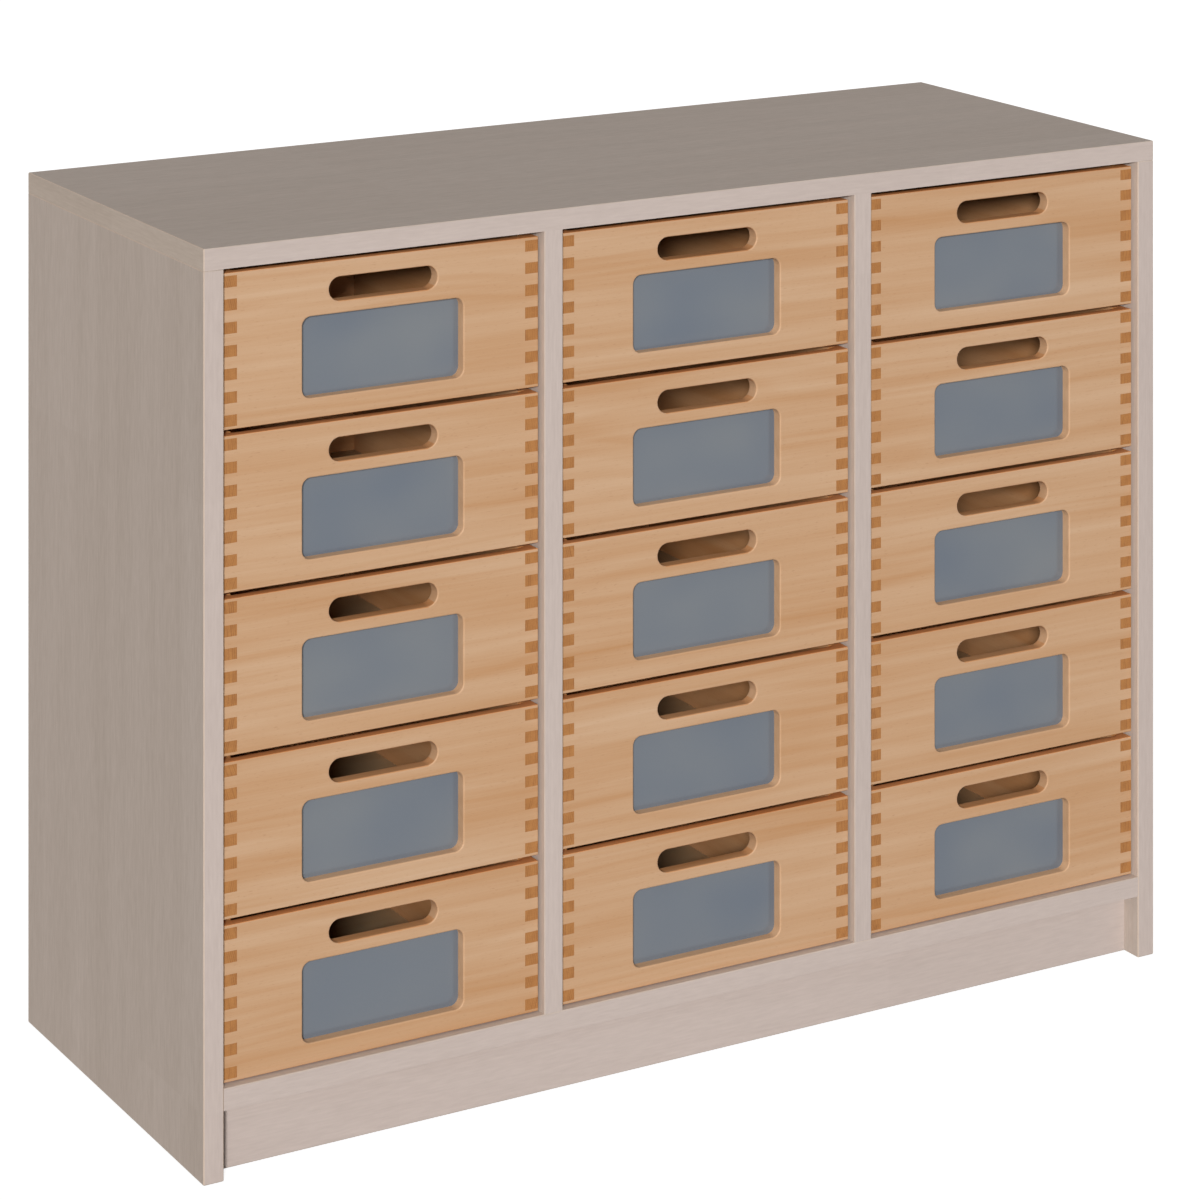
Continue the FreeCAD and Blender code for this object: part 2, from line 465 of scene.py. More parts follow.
@dataclass(frozen=True)
class Finish:
    """What a surface is made of and how it was worked, with the two tones that its patterns run between."""

    name: str
    first: str
    second: str
    roughness: float

    def material(self) -> bpy.types.Material:
        """Makes the material the first time it is asked for.

        Returns:
            The material.
        """
        found = bpy.data.materials.get(self.name)
        if found is None:
            found = bpy.data.materials.new(self.name)
            found.use_nodes = True
            tree = found.node_tree
            tree.nodes.clear()
            add_node(tree, "OutputMaterial", {"Surface": self.paint(tree, self.grain(tree))})
        return found

    def grain(self, tree: Tree) -> Socket:
        """Where in a board's grain a point lies, in mm: along the fibres, across them and inwards."""
        return add_node(tree, "Attribute", attribute_name=GRAIN)["Vector"]

    def paint(self, tree: Tree, place: Socket) -> Socket:
        """Adds the nodes of the finish to its material.

        Args:
            tree: The material's tree.
            place: Where in the grain a point lies.

        Returns:
            The shader.
        """
        raise NotImplementedError

    def toned(self, tree: Tree, start: float, *parts: tuple[Socket, float]) -> Socket:
        """The colour between the two tones, at a start and the sum of patterns, each times its weight."""
        tones = {0: weighed(tree, start, *parts), 6: linear(self.first), 7: linear(self.second)}
        return add_node(tree, "Mix", tones, data_type="RGBA")[2]

    def swayed(self, tree: Tree, pattern: Socket, swing: float) -> Socket:
        """The roughness, swung up and down with a pattern that runs from -0.5 to 0.5."""
        ends = {3: self.roughness - swing, 4: self.roughness + swing}
        return add_node(tree, "MapRange", {0: pattern, 1: -0.5, 2: 0.5, **ends})[0]

    def skin(self, tree: Tree, colour: Socket, roughness: Socket | float, relief: Socket, height: float,
             gloss: float = 0.5, ior: float = 1.5) -> Socket:
        """A shader with a colour and a fine relief.

        Args:
            tree: The material's tree.
            colour: The colour.
            roughness: The roughness.
            relief: The pattern of the relief.
            height: How deep it is, in millimetres.
            gloss: How much it reflects; 0.5 is what its index gives.
            ior: The index of refraction of the coating.

        Returns:
            The shader.
        """
        bump = add_node(tree, "Bump", {"Strength": 1.0, "Distance": height * MM, "Height": relief})[0]
        return add_node(tree, "BsdfPrincipled", {"Base Color": colour, "Roughness": roughness, "IOR": ior,
                                                 "Specular IOR Level": gloss, "Normal": bump})[0]


@dataclass(frozen=True)
class MelamineBoard(Finish):
    """Chipboard faced with printed melamine: pale, even, fine grain under a hard satin skin."""

    name: str = "melamine_faced_board"
    first: str = "#B8A89B"
    second: str = "#CEBFB4"
    roughness: float = 0.46
    stave: Span = (520.0, 96.0)

    def paint(self, tree: Tree, place: Socket) -> Socket:
        """Paints the print.

        Args:
            tree: The material's tree.
            place: Where in the grain a point lies.

        Returns:
            The shader.
        """
        # Printed fibres are some 0.3 mm wide; 1.6 mm is as fine as a view of the whole unit shows.
        fibres = streaks(tree, place, 70.0, 1.6, 3.0)
        # Pores are printed as dashes of about 5 by 0.2 mm, drawn 17 by 2.3 mm for the same reason.
        dashes = streaks(tree, place, 17.0, 2.3)
        figure = streaks(tree, place, 420.0, 26.0)
        number = add_node(tree, "VectorMath", {0: place, 1: (*self.stave, 1e6)}, operation="DIVIDE")[0]
        whole = add_node(tree, "VectorMath", {0: number}, operation="FLOOR")[0]
        tone = add_node(tree, "TexWhiteNoise", {"Vector": whole})[0]
        colour = self.toned(tree, 0.42, (fibres, 0.3), (dashes, 0.42), (figure, 0.3), (tone, 0.16))
        return self.skin(tree, colour, self.swayed(tree, figure, 0.04), dashes, 0.02, gloss=0.02)


@dataclass(frozen=True)
class EdgeBand(MelamineBoard):
    """The same print on a thin plastic band, along an end that runs across the board's own grain."""

    name: str = "melamine_edge_band_across"
    first: str = "#BEAD9E"
    second: str = "#D1C1B3"

    def grain(self, tree: Tree) -> Socket:
        """Where in the band's grain a point lies; its fibres follow the object's Y."""
        parts = add_node(tree, "SeparateXYZ", {0: object_place(tree)})
        return add_node(tree, "CombineXYZ", {0: parts[1], 1: parts[2], 2: parts[0]})[0]


@dataclass(frozen=True)
class Beech(Finish):
    """Solid beech, planed and clear lacquered: warm, with soft broad rings and short brown flecks."""

    name: str = "beech_planed_lacquered"
    first: str = "#CDAB8B"
    second: str = "#B9895D"
    roughness: float = 0.42
    fleck: str = "#A4754D"
    ring_width: float = 5.2

    def rings(self, tree: Tree, place: Socket, waver: float) -> Socket:
        """The growth rings of the log that the board was sawn from.

        Args:
            tree: The material's tree.
            place: Where in the grain a point lies; the pith runs along the first axis.
            waver: How far a ring strays from a true circle.

        Returns:
            0 in the soft early wood, rising to 1 at the dense late wood's edge, with some years fainter.
        """
        stray = streaks(tree, place, 300.0, 70.0, 1.0)
        round_pith = add_node(tree, "VectorMath", {0: place, 1: (0.012, 1.0, 1.0)}, operation="MULTIPLY")[0]
        radius = add_node(tree, "VectorMath", {0: round_pith}, operation="LENGTH")["Value"]
        radius = add_node(tree, "Math", {0: stray, 1: waver, 2: radius}, operation="MULTIPLY_ADD")[0]
        years = add_node(tree, "Math", {0: radius, 1: self.ring_width}, operation="DIVIDE")[0]
        year = add_node(tree, "Math", {0: years}, operation="FLOOR")[0]
        season = add_node(tree, "Math", {0: years}, operation="FRACT")[0]
        early, late = [add_node(tree, "MapRange", {0: season, 1: start, 2: 0.7},
                                interpolation_type="SMOOTHSTEP")[0] for start in (0.0, 1.0)]
        swell = add_node(tree, "Math", {0: early, 1: late}, operation="MULTIPLY")[0]
        vigour = add_node(tree, "TexWhiteNoise", {"W": year}, noise_dimensions="1D")[0]
        return add_node(tree, "Math", {0: swell, 1: vigour}, operation="MULTIPLY")[0]

    def paint(self, tree: Tree, place: Socket) -> Socket:
        """Paints the planed face.

        Args:
            tree: The material's tree.
            place: Where in the grain a point lies.

        Returns:
            The shader.
        """
        rings = self.rings(tree, place, 12.0)
        bands = streaks(tree, place, 340.0, 11.0, 1.0)
        heart = streaks(tree, place, 520.0, 34.0, 1.0)
        # Beech fibres are 0.02 mm wide; bundles of 1.2 mm are as fine as a view of the whole unit shows.
        fibres = streaks(tree, place, 60.0, 1.2, 3.0)
        colour = self.toned(tree, 0.46, (rings, 0.16), (bands, 0.34), (heart, 0.5), (fibres, 0.18))
        # Ray flecks are spindles of about 2 by 0.3 mm, drawn 6 by 1 mm so that they show.
        spindles = streaks(tree, place, 6.0, 1.0, 1.0)
        flecks = add_node(tree, "MapRange", {0: spindles, 1: 0.28, 2: 0.6, 3: 0.0, 4: 0.35})[0]
        colour = add_node(tree, "Mix", {0: flecks, 6: colour, 7: linear(self.fleck)}, data_type="RGBA")[2]
        relief = weighed(tree, 0.0, (fibres, 1.0), (flecks, -1.0))
        return self.skin(tree, colour, self.swayed(tree, bands, -0.05), relief, 0.03, gloss=0.3)


@dataclass(frozen=True)
class BeechEndGrain(Beech):
    """The sawn ends of the same boards, darker and duller, since the open pores drink the lacquer."""

    name: str = "beech_end_grain_lacquered"
    first: str = "#B67F4A"
    second: str = "#97643A"
    roughness: float = 0.6
    # A year shows as a line across the end; this is the closest spacing that shows.
    ring_width: float = 1.8

    def paint(self, tree: Tree, place: Socket) -> Socket:
        """Paints the sawn end.

        Args:
            tree: The material's tree.
            place: Where in the grain a point lies.

        Returns:
            The shader.
        """
        rings = self.rings(tree, place, 3.0)
        pores = streaks(tree, place, 1.3, 1.3)
        blotches = streaks(tree, place, 9.0, 9.0, 1.0)
        colour = self.toned(tree, 0.3, (rings, 0.6), (pores, 0.35), (blotches, 0.4))
        return self.skin(tree, colour, self.roughness, pores, 0.04, gloss=0.2)


@dataclass(frozen=True)
class Plywood(Finish):
    """Birch plywood, sanded and lacquered: pale faces with long soft figure, and edges in glued layers."""

    name: str = "birch_plywood_lacquered"
    first: str = "#E3CBA6"
    second: str = "#D0B188"
    roughness: float = 0.5
    glue: str = "#8A6238"
    ply: float = 1.35
    blur: float = 0.15

    def paint(self, tree: Tree, place: Socket) -> Socket:
        """Paints the faces and the layers.

        Args:
            tree: The material's tree.
            place: Where in the grain a point lies.

        Returns:
            The shader.
        """
        figure = streaks(tree, place, 180.0, 14.0)
        fibres = streaks(tree, place, 40.0, 1.2, 3.0)
        colour = self.toned(tree, 0.45, (figure, 0.7), (fibres, 0.25))
        depth = add_node(tree, "SeparateXYZ", {0: place})[2]
        layer = add_node(tree, "Math", {0: depth, 1: 2 * self.ply}, operation="PINGPONG")[0]
        ends = {1: self.ply - self.blur, 2: self.ply + self.blur, 3: 0.0, 4: 0.55}
        crossed = add_node(tree, "MapRange", {0: layer, **ends})[0]
        colour = add_node(tree, "Mix", {0: crossed, 6: colour, 7: linear(self.glue)}, data_type="RGBA")[2]
        return self.skin(tree, colour, self.roughness, fibres, 0.03)


@dataclass(frozen=True)
class SatinAcrylic(Finish):
    """Blue-grey acrylic sheet with a satin face: a soft even sheen over a clouded, nearly opaque body."""

    name: str = "satin_acrylic_sheet"
    first: str = "#636C78"
    second: str = "#73787D"
    roughness: float = 0.16

    def paint(self, tree: Tree, place: Socket) -> Socket:
        """Paints the satin face.

        Args:
            tree: The material's tree.
            place: Where in the sheet a point lies.

        Returns:
            The shader.
        """
        cloud = streaks(tree, place, 110.0, 80.0, 1.0)
        # The satin is etched at some 0.05 mm, drawn at 0.9 mm.
        etching = streaks(tree, place, 0.9, 0.9, 1.0)
        colour = self.toned(tree, 0.5, (cloud, 0.9), (etching, 0.1))
        return self.skin(tree, colour, self.roughness, etching, 0.0005, ior=1.49)


@dataclass(frozen=True)
class ZincPlate(Finish):
    """Zinc-plated steel screws: a cool, slightly clouded metal."""

    name: str = "zinc_plated_steel"
    first: str = "#9DA1A4"
    second: str = "#C3C6C8"
    roughness: float = 0.4

    def grain(self, tree: Tree) -> Socket:
        """The metal has no grain, so its clouds follow the object's own coordinates."""
        return object_place(tree)

    def paint(self, tree: Tree, place: Socket) -> Socket:
        """Paints the plating.

        Args:
            tree: The material's tree.
            place: Where on the object a point lies.

        Returns:
            The shader.
        """
        bloom = streaks(tree, place, 2.5, 2.5)
        colour = self.toned(tree, 0.5, (bloom, 1.0))
        shine = self.swayed(tree, bloom, 0.1)
        return add_node(tree, "BsdfPrincipled", {"Base Color": colour, "Roughness": shine,
                                                 "Metallic": 1.0})[0]


MELAMINE = MelamineBoard()
FRONT_BAND = MelamineBoard("melamine_edge_band", "#BCADA5", "#CCBDB5")
BAND = EdgeBand()
# A lighter, pinker print on the rounded arrises beside the ends and sides.
ARRIS_MELAMINE = MelamineBoard("edge_band_milled", "#C4B09F", "#D3C0B0")
BACK_FACING = MelamineBoard("melamine_faced_fibreboard", "#B8A89D", "#CBBBB0")
BEECH = Beech()
# Painted bounce light: a redder, more saturated beech on the drawers' inner faces and the slot's upper and
# lower faces, for the warm light that bounces round inside a drawer.
INSIDE_PAINTED_BOUNCE = Beech("beech_planed_oiled", "#D3A175", "#BC7E4A", 0.5, "#A56F45", 4.6)
# Painted bounce light: a saturated orange beech on the fronts' upper and lower edges, for the warm shade in
# the gaps between rows.
EDGE_PAINTED_BOUNCE = Beech("beech_edge_oiled", "#DB9D68", "#C27A42", 0.5, "#A0683A", 4.6)
# Painted light: a lighter beech on the front's reveals and rounds. Its tone is set to how bright these faces
# look beside the front, though they take less of the key.
REVEAL_PAINTED_LIGHT = Beech("beech_routed_lacquered", "#D3AC88", "#BF946D", 0.5, "#AA7C54", 5.2)
END_GRAIN = BeechEndGrain()
RUNNER_BEECH = Beech("beech_runner_waxed", "#C79C70", "#AE7E50", 0.34, "#8E6236", 3.6)
PLYWOOD = Plywood()
ACRYLIC = SatinAcrylic()
ZINC = ZincPlate()


@dataclass(frozen=True)
class Lay:
    """How a board lies in its log or print: the axes of its fibres, its width and its thickness."""

    along: Axis
    across: Axis
    into: Axis
    pith: float = 90.0
    stray: float = 60.0
    log: float = 4000.0

    def write(self, piece: Piece) -> None:
        """Writes the grain coordinates of a piece, in millimetres, from a cut of its own.

        Args:
            piece: The piece, whose name settles the cut.
        """
        draw = random.Random(piece.name)
        corners = piece.data.vertices
        middle = [sum((min(v.co[i] for v in corners), max(v.co[i] for v in corners))) / 2 for i in range(3)]
        shift = Vector((draw.uniform(-self.log, self.log), draw.uniform(-self.stray, self.stray),
                        self.pith * draw.uniform(0.7, 1.3)))
        values = [(vertex.co[axis.value] - middle[axis.value]) / MM + moved for vertex in corners
                  for axis, moved in zip((self.along, self.across, self.into), shift)]
        made = piece.data.attributes.new(GRAIN, "FLOAT_VECTOR", "POINT")
        made.data.foreach_set("vector", values)


def dress(piece: Piece, lay: Lay, face: Finish, *others: tuple[Finish, Test]) -> None:
    """Gives a piece its grain and its materials.

    Args:
        piece: The piece.
        lay: How its grain lies.
        face: The finish of most of it.
        others: Other finishes, each with the test that a face's middle and its normal have to pass; the
            first that fits is taken.
    """
    lay.write(piece)
    piece.data.materials.clear()
    for finish in (face, *[finish for finish, _ in others]):
        piece.data.materials.append(finish.material())
    for polygon in piece.data.polygons:
        at, normal = polygon.center / MM, polygon.normal
        fits = [index for index, (_, test) in enumerate(others, 1) if test(at, normal)]
        polygon.material_index = fits[0] if fits else 0


def facing(axis: Axis) -> Test:
    """A test that the faces pass that look along an axis, either way."""
    return lambda _, normal: abs(normal[axis.value]) > FACING


def is_front(_: Vector, normal: Vector) -> bool:
    """Whether a face looks out of the front of the unit."""
    return normal.y < -SQUARE


def is_side_arris(_: Vector, normal: Vector) -> bool:
    """Whether a face is in an arris beside an end or side, which takes a lighter, pinker print."""
    return abs(normal.x) > LEANING and max(abs(part) for part in normal) < SQUARE


BANDED: tuple[Finish, Test] = (FRONT_BAND, is_front)
ARRIS_LIGHTER: tuple[Finish, Test] = (ARRIS_MELAMINE, is_side_arris)


def settle(piece: Piece, body: str, slot: str, *nodes: str) -> None:
    """Ties a finished piece to the frame.

    Args:
        piece: The piece.
        body: The body that it moves with.
        slot: The record's slot that it takes its finish from; not used.
        nodes: The nodes that it stands for.
    """
    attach(piece, body)
    if nodes:
        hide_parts(*nodes)
    LOG.info("%s rides on %s with %d faces", piece.name, body, len(piece.data.polygons))


@dataclass(frozen=True)
class Screw:
    """A countersunk cross-recess screw: its head lies flush, with its shank in the wood behind."""

    head: float = 3.5
    shank: float = 1.7
    head_depth: float = 2.2
    length: float = 14.0
    recess: float = 0.9
    recess_reach: float = 2.17
    recess_depth: float = 1.1
    sunk: float = 0.2
    seat_wide: float = 3.9
    seat_narrow: float = 1.8
    seat_depth: float = 2.6
    sides: int = 20

    def build(self, name: str, turn: float) -> Piece:
        """Makes one screw, with the middle of its head at the origin.

        Args:
            name: The name of the piece.
            turn: How far round Z its head is turned from -Y, in radians.

        Returns:
            The screw.
        """
        leave_edit_mode()
        bpy.ops.mesh.primitive_cone_add(vertices=self.sides, radius1=self.head * MM, radius2=self.shank * MM,
                                        depth=self.head_depth * MM, location=(0, self.head_depth / 2 * MM, 0),
                                        rotation=(-math.pi / 2, 0, 0))
        bench = Bench(bpy.context.object)
        bench.piece.name = name
        bpy.ops.object.transform_apply(location=True, rotation=True, scale=True)
        bench.open()
        bench.pull(lambda spot: spot.lies(Y, self.head_depth), (0, self.length - self.head_depth, 0))
        for wide, high in ((self.recess_reach, self.recess / 2), (self.recess / 2, self.recess_reach)):
            bench.carve(Block((-wide, wide), (-MARGIN, self.recess_depth), (-high, high)))
        screw = bench.done()
        screw.data.transform(Matrix.Rotation(turn, 4, "Z"))
        return screw

    def seat(self, place: Sequence[float], outward: Axis) -> Piece:
        """A cone to cut the seat of a head with.

        Args:
            place: The middle of the seat, on the surface.
            outward: The axis that the surface faces along.

        Returns:
            The cutter, in object mode.
        """
        middle = Vector(place) + outward.direction * (self.sunk - self.seat_depth / 2)
        turn = outward.direction.to_track_quat("-Z", "Y").to_euler()
        leave_edit_mode()
        bpy.ops.mesh.primitive_cone_add(vertices=self.sides, radius1=self.seat_wide * MM,
                                        radius2=self.seat_narrow * MM, depth=self.seat_depth * MM,
                                        location=middle * MM, rotation=turn)
        return bpy.context.object

    def fit(self, screws: Sequence[Piece], name: str, slot: str) -> None:
        """Joins a set of screws, plates it and ties it to the frame.

        Args:
            screws: The screws.
            name: The name of the set.
            slot: The record's slot of what they hold.
        """
        whole = joined(screws, name)
        dress(whole, Lay(Y, Z, X), ZINC)
        settle(whole, CARCASS_BODY, slot)


@dataclass
class Carcass:
    """The fixed boards: a top over two sides, a base, two dividers, a back and two plinth rails."""

    width: float = 1016.0
    depth: float = 400.0
    height: float = 798.0
    columns: int = 3
    board: float = 19.0
    plinth_height: float = 60.0
    plinth_setback: float = 22.0
    back_thickness: float = 8.0
    back_rebate: float = 9.5
    housing: float = 6.0
    shoulder: float = 12.0
    tongue: float = 9.5
    screw_edge: float = 4.8
    screws_across: int = 9
    screws_up: int = 6
    arris: float = 1.0
    back_arris: float = 0.4
    # How far in from an end its band is still seen, round the arris.
    band_reach: float = 0.1
    screw: Screw = Screw()

    @property
    def front(self) -> float:
        """Y of the front edges."""
        return -self.depth / 2

    @property
    def back_face(self) -> float:
        """Y of the back panel's inner face."""
        return self.depth / 2 - self.back_thickness

    @property
    def wall(self) -> float:
        """X of the right side's inner face."""
        return self.width / 2 - self.board

    @property
    def underside(self) -> float:
        """Z of the top's lower face."""
        return self.height - self.board

    @property
    def base_top(self) -> float:
        """Z of the base's upper face."""
        return self.plinth_height + self.board

    @property
    def compartment(self) -> float:
        """The clear width of a column."""
        return (2 * self.wall - (self.columns - 1) * self.board) / self.columns

    @property
    def housed(self) -> Span:
        """The stretch in Y of every housing."""
        return self.front + self.shoulder, self.back_face

    def compartment_left(self, column: int) -> float:
        """X of a compartment's left wall, counted from the left."""
        return -self.wall + column * (self.compartment + self.board)

    def divider_cores(self) -> list[Block]:
        """The part of each divider that is let into the base and the top."""
        rights = [self.compartment_left(index + 1) for index in range(self.columns - 1)]
        return [Block((right - self.board, right), self.housed,
                      (self.base_top - self.housing, self.underside + self.housing)) for right in rights]

    def back_screws(self) -> list[Span]:
        """Sets out the screws that hold the back.

        Returns:
            The (x, z) place of each.
        """
        half = self.wall + self.screw_edge
        low, high = self.plinth_height + self.board / 2, self.underside + self.screw_edge
        found = []
        for index in range(self.screws_across):
            x = -half + 2 * half * index / (self.screws_across - 1)
            found += [(x, low), (x, high)]
        dividers = [self.compartment_left(index) - self.board / 2 for index in range(1, self.columns)]
        for x in (-half, half, *dividers):
            found += [(x, low + (high - low) * index / self.screws_up) for index in range(1, self.screws_up)]
        return found

    def fit(self, piece: Piece, node: str, lay: Lay, *others: tuple[Finish, Test]) -> None:
        """Dresses a faced board and ties it to the frame."""
        dress(piece, lay, MELAMINE, *others)
        settle(piece, CARCASS_BODY, "carcass_board", node)

    def build_top(self) -> None:
        """Makes the top, which lies over both sides and is rebated for the back."""
        half, seat, low = self.width / 2, self.wall + self.back_rebate, self.underside - PAST
        bench = Bench.stocked("top_board", Block((-half, half), (self.front, -self.front),
                                                 (self.underside, self.height)))
        bench.soften(lambda spot: spot.lies(Z, self.height) or (not spot.lies(Z, self.underside)
                                                                and spot.lies(X, -half, half)), self.arris)
        reach = self.wall + self.tongue
        bench.carve(Block((-seat, seat), (self.back_face, PAST - self.front),
                          (low, self.underside + self.back_rebate)),
                    *[Block(stretch, self.housed, (low, self.underside + self.housing))
                      for stretch in ((-reach, -self.wall), (self.wall, reach))], *self.divider_cores())
        self.fit(bench.done(), "top_panel", Lay(X, Y, Z),
                 (BAND, lambda at, _: abs(at.x) > half - self.band_reach), BANDED, ARRIS_LIGHTER)

    def build_sides(self) -> None:
        """Makes the left side with its tongue, rebate and housing, and the right side as its mirror image."""
        half, wall = self.width / 2, self.wall
        bench = Bench.stocked("side_board_left", Block((-half, -wall), (self.front, -self.front),
                                                       (0, self.underside)))
        bench.soften(lambda spot: spot.lies(Y, self.front, -self.front) or spot.lies(X, -half)
                     or spot.lies(Z, 0), self.arris)
        bench.carve(Block((-wall - self.back_rebate, PAST - wall), (self.back_face, PAST - self.front),
                          (self.plinth_height, self.underside + PAST)),
                    Block((-wall - self.housing, PAST - wall), self.housed,
                          (self.plinth_height, self.base_top)))
        bench.split(X, [-wall - self.tongue])
        bench.split(Y, self.housed)
        bench.pull(lambda spot: spot.lies(Z, self.underside) and spot.middle.x > -wall - self.tongue
                   and self.housed[0] < spot.middle.y < self.housed[1], (0, 0, self.housing))
        bench.clean()
        leave_edit_mode()
        right = mirror_of(bench.piece, "side_board_right")
        for piece, node in ((bench.done(), "side_panel_left"), (Bench(right).done(), "side_panel_right")):
            self.fit(piece, node, Lay(Z, Y, X), BANDED, ARRIS_LIGHTER)

    def build_base(self) -> None:
        """Makes the base, let into both sides, with a housing for each divider."""
        bench = Bench.stocked("base_board", Block((-self.wall, self.wall), (self.front, self.back_face),
                                                  (self.plinth_height, self.base_top)))
        bench.split(Y, [self.housed[0]])
        for side in Wall:
            bench.pull(lambda spot: spot.lies(X, side.value * self.wall) and spot.middle.y > self.housed[0],
                       (side.value * self.housing, 0, 0))
        bench.clean()
        bench.soften(lambda spot: spot.lies(Y, self.front) and spot.lies(Z, self.base_top), self.arris)
        bench.carve(*self.divider_cores())
        self.fit(bench.done(), "base_panel", Lay(X, Y, Z), BANDED)

    def build_dividers(self) -> None:
        """Makes the uprights between the columns, let into the base and the top behind a shoulder."""
        right = self.compartment_left(1)
        left = right - self.board
        bench = Bench.stocked("divider_board_1", Block((left, right), (self.front, self.back_face),
                                                       (self.base_top, self.underside)))
        bench.split(Y, [self.housed[0]])
        for level, move in ((self.base_top, -self.housing), (self.underside, self.housing)):
            bench.pull(lambda spot: spot.lies(Z, level) and spot.middle.y > self.housed[0], (0, 0, move))
        bench.clean()
        bench.soften(lambda spot: spot.lies(Y, self.front) and spot.lies(X, left, right), self.arris)
        first, pitch = bench.done(), self.compartment + self.board
        pieces = [first] + [copy_of(first, f"divider_board_{index + 1}", (pitch * index, 0, 0))
                            for index in range(1, self.columns - 1)]
        for index, piece in enumerate(pieces):
            self.fit(piece, f"divider_{index + 1}", Lay(Z, Y, X), BANDED)

    def build_back(self) -> None:
        """Makes the thin back, seated in the rebates of the sides and the top."""
        half, rear = self.wall + self.back_rebate, self.depth / 2
        bench = Bench.stocked("back_board", Block((-half, half), (self.back_face, rear),
                                                  (self.plinth_height, self.underside + self.back_rebate)))
        bench.soften(lambda spot: spot.lies(Y, rear), self.back_arris, FEW_STEPS)
        bench.cut(joined([self.screw.seat((x, rear, z), Y) for x, z in self.back_screws()], "seats"))
        piece = bench.done()
        dress(piece, Lay(Z, X, Y), BACK_FACING)
        settle(piece, CARCASS_BODY, "back_board", "back_panel")

    def build_plinth(self) -> None:
        """Makes the rails under the base, at the front and the rear."""
        face = self.front + self.plinth_setback
        front = eased("plinth_board_front", Block((-self.wall, self.wall), (face, face + self.board),
                                                  (0, self.plinth_height)),
                      lambda spot: spot.lies(Z, 0), self.arris)
        rear = copy_of(front, "plinth_board_rear", (0, -2 * face - self.board, 0))
        for piece, node in ((front, "plinth_rail_front"), (rear, "plinth_rail_rear")):
            self.fit(piece, node, Lay(X, Z, Y), BANDED)

    def build(self) -> None:
        """Makes every board of the carcass."""
        self.build_top()
        self.build_sides()
        self.build_base()
        self.build_dividers()
        self.build_back()
        self.build_plinth()


@dataclass
class Runners:
    """The hardwood strips that a column of drawers slides on, with their screws."""

    carcass: Carcass
    rows: int = 5
    height: float = 14.0
    proud: float = 6.7
    along: Span = (-175.2, 180.0)
    first_low: float = 140.3
    pitch: float = 139.7
    screw_places: tuple[float, ...] = (-150.0, 2.0, 155.0)
    arris: float = 0.8

    @property
    def level(self) -> float:
        """Z of the lowest strip's middle."""
        return self.first_low + self.height / 2

    def build_strip(self) -> Piece:
        """Makes the lowest strip on the left wall of the first column, with countersunk holes.

        Returns:
            The strip.
        """
        left, screw = self.carcass.compartment_left(0), self.carcass.screw
        face = left + self.proud
        bench = Bench.stocked("runner", Block((left, face), self.along,
                                              (self.first_low, self.first_low + self.height)))
        bench.soften(lambda spot: spot.lies(X, face), self.arris)
        bench.cut(*[screw.seat((face, place, self.level), X) for place in self.screw_places])
        return bench.done()

    def is_end(self, at: Vector, normal: Vector) -> bool:
        """Whether a face is a strip's sawn end, beyond the seat of the last screw."""
        return abs(normal.y) > FACING and abs(at.y) > self.screw_places[-1] + self.carcass.screw.seat_wide

    def build(self) -> None:
        """Makes every strip and its screws, column by column."""
        carcass = self.carcass
        strip, screw = self.build_strip(), carcass.screw.build("runner_screw", math.pi / 2)
        middle = carcass.compartment_left(0) + carcass.compartment / 2
        facing_strip = mirror_of(strip, "runner_facing", middle)
        facing_screw = mirror_of(screw, "screw_facing")
        proud = self.proud - carcass.screw.sunk
        pairs = ((Wall.LEFT, strip, screw, proud),
                 (Wall.RIGHT, facing_strip, facing_screw, carcass.compartment - proud))
        for column in range(carcass.columns):
            letter, wall = chr(ord("a") + column), carcass.compartment_left(column)
            screws = []
            for row in range(self.rows):
                rise = self.pitch * row
                for side, model, head, face in pairs:
                    name = f"runner_{letter}{self.rows - row}_{side.name.lower()}"
                    piece = copy_of(model, name, ((carcass.compartment + carcass.board) * column, 0, rise))
                    dress(piece, Lay(Y, Z, X), RUNNER_BEECH, (END_GRAIN, self.is_end))
                    settle(piece, CARCASS_BODY, "runner_hardwood", f"runners_column_{letter}")
                    screws += [copy_of(head, f"{name}_screw", (wall + face, place, self.level + rise))
                               for place in self.screw_places]
            carcass.screw.fit(screws, f"runner_screws_{letter}", "runner_hardwood")
        for model in (strip, facing_strip, screw, facing_screw):
            bpy.data.meshes.remove(model.data)


@dataclass
class BackScrews:
    """The screws round the back panel and up the dividers behind it."""

    carcass: Carcass

    def build(self) -> None:
        """Makes the screws."""
        screw = self.carcass.screw
        model = screw.build("back_screw", math.pi)
        level = self.carcass.depth / 2 - screw.sunk
        screw.fit([copy_of(model, "back_screw", (x, level, z)) for x, z in self.carcass.back_screws()],
                  "back_screws", "back_board")
        bpy.data.meshes.remove(model.data)


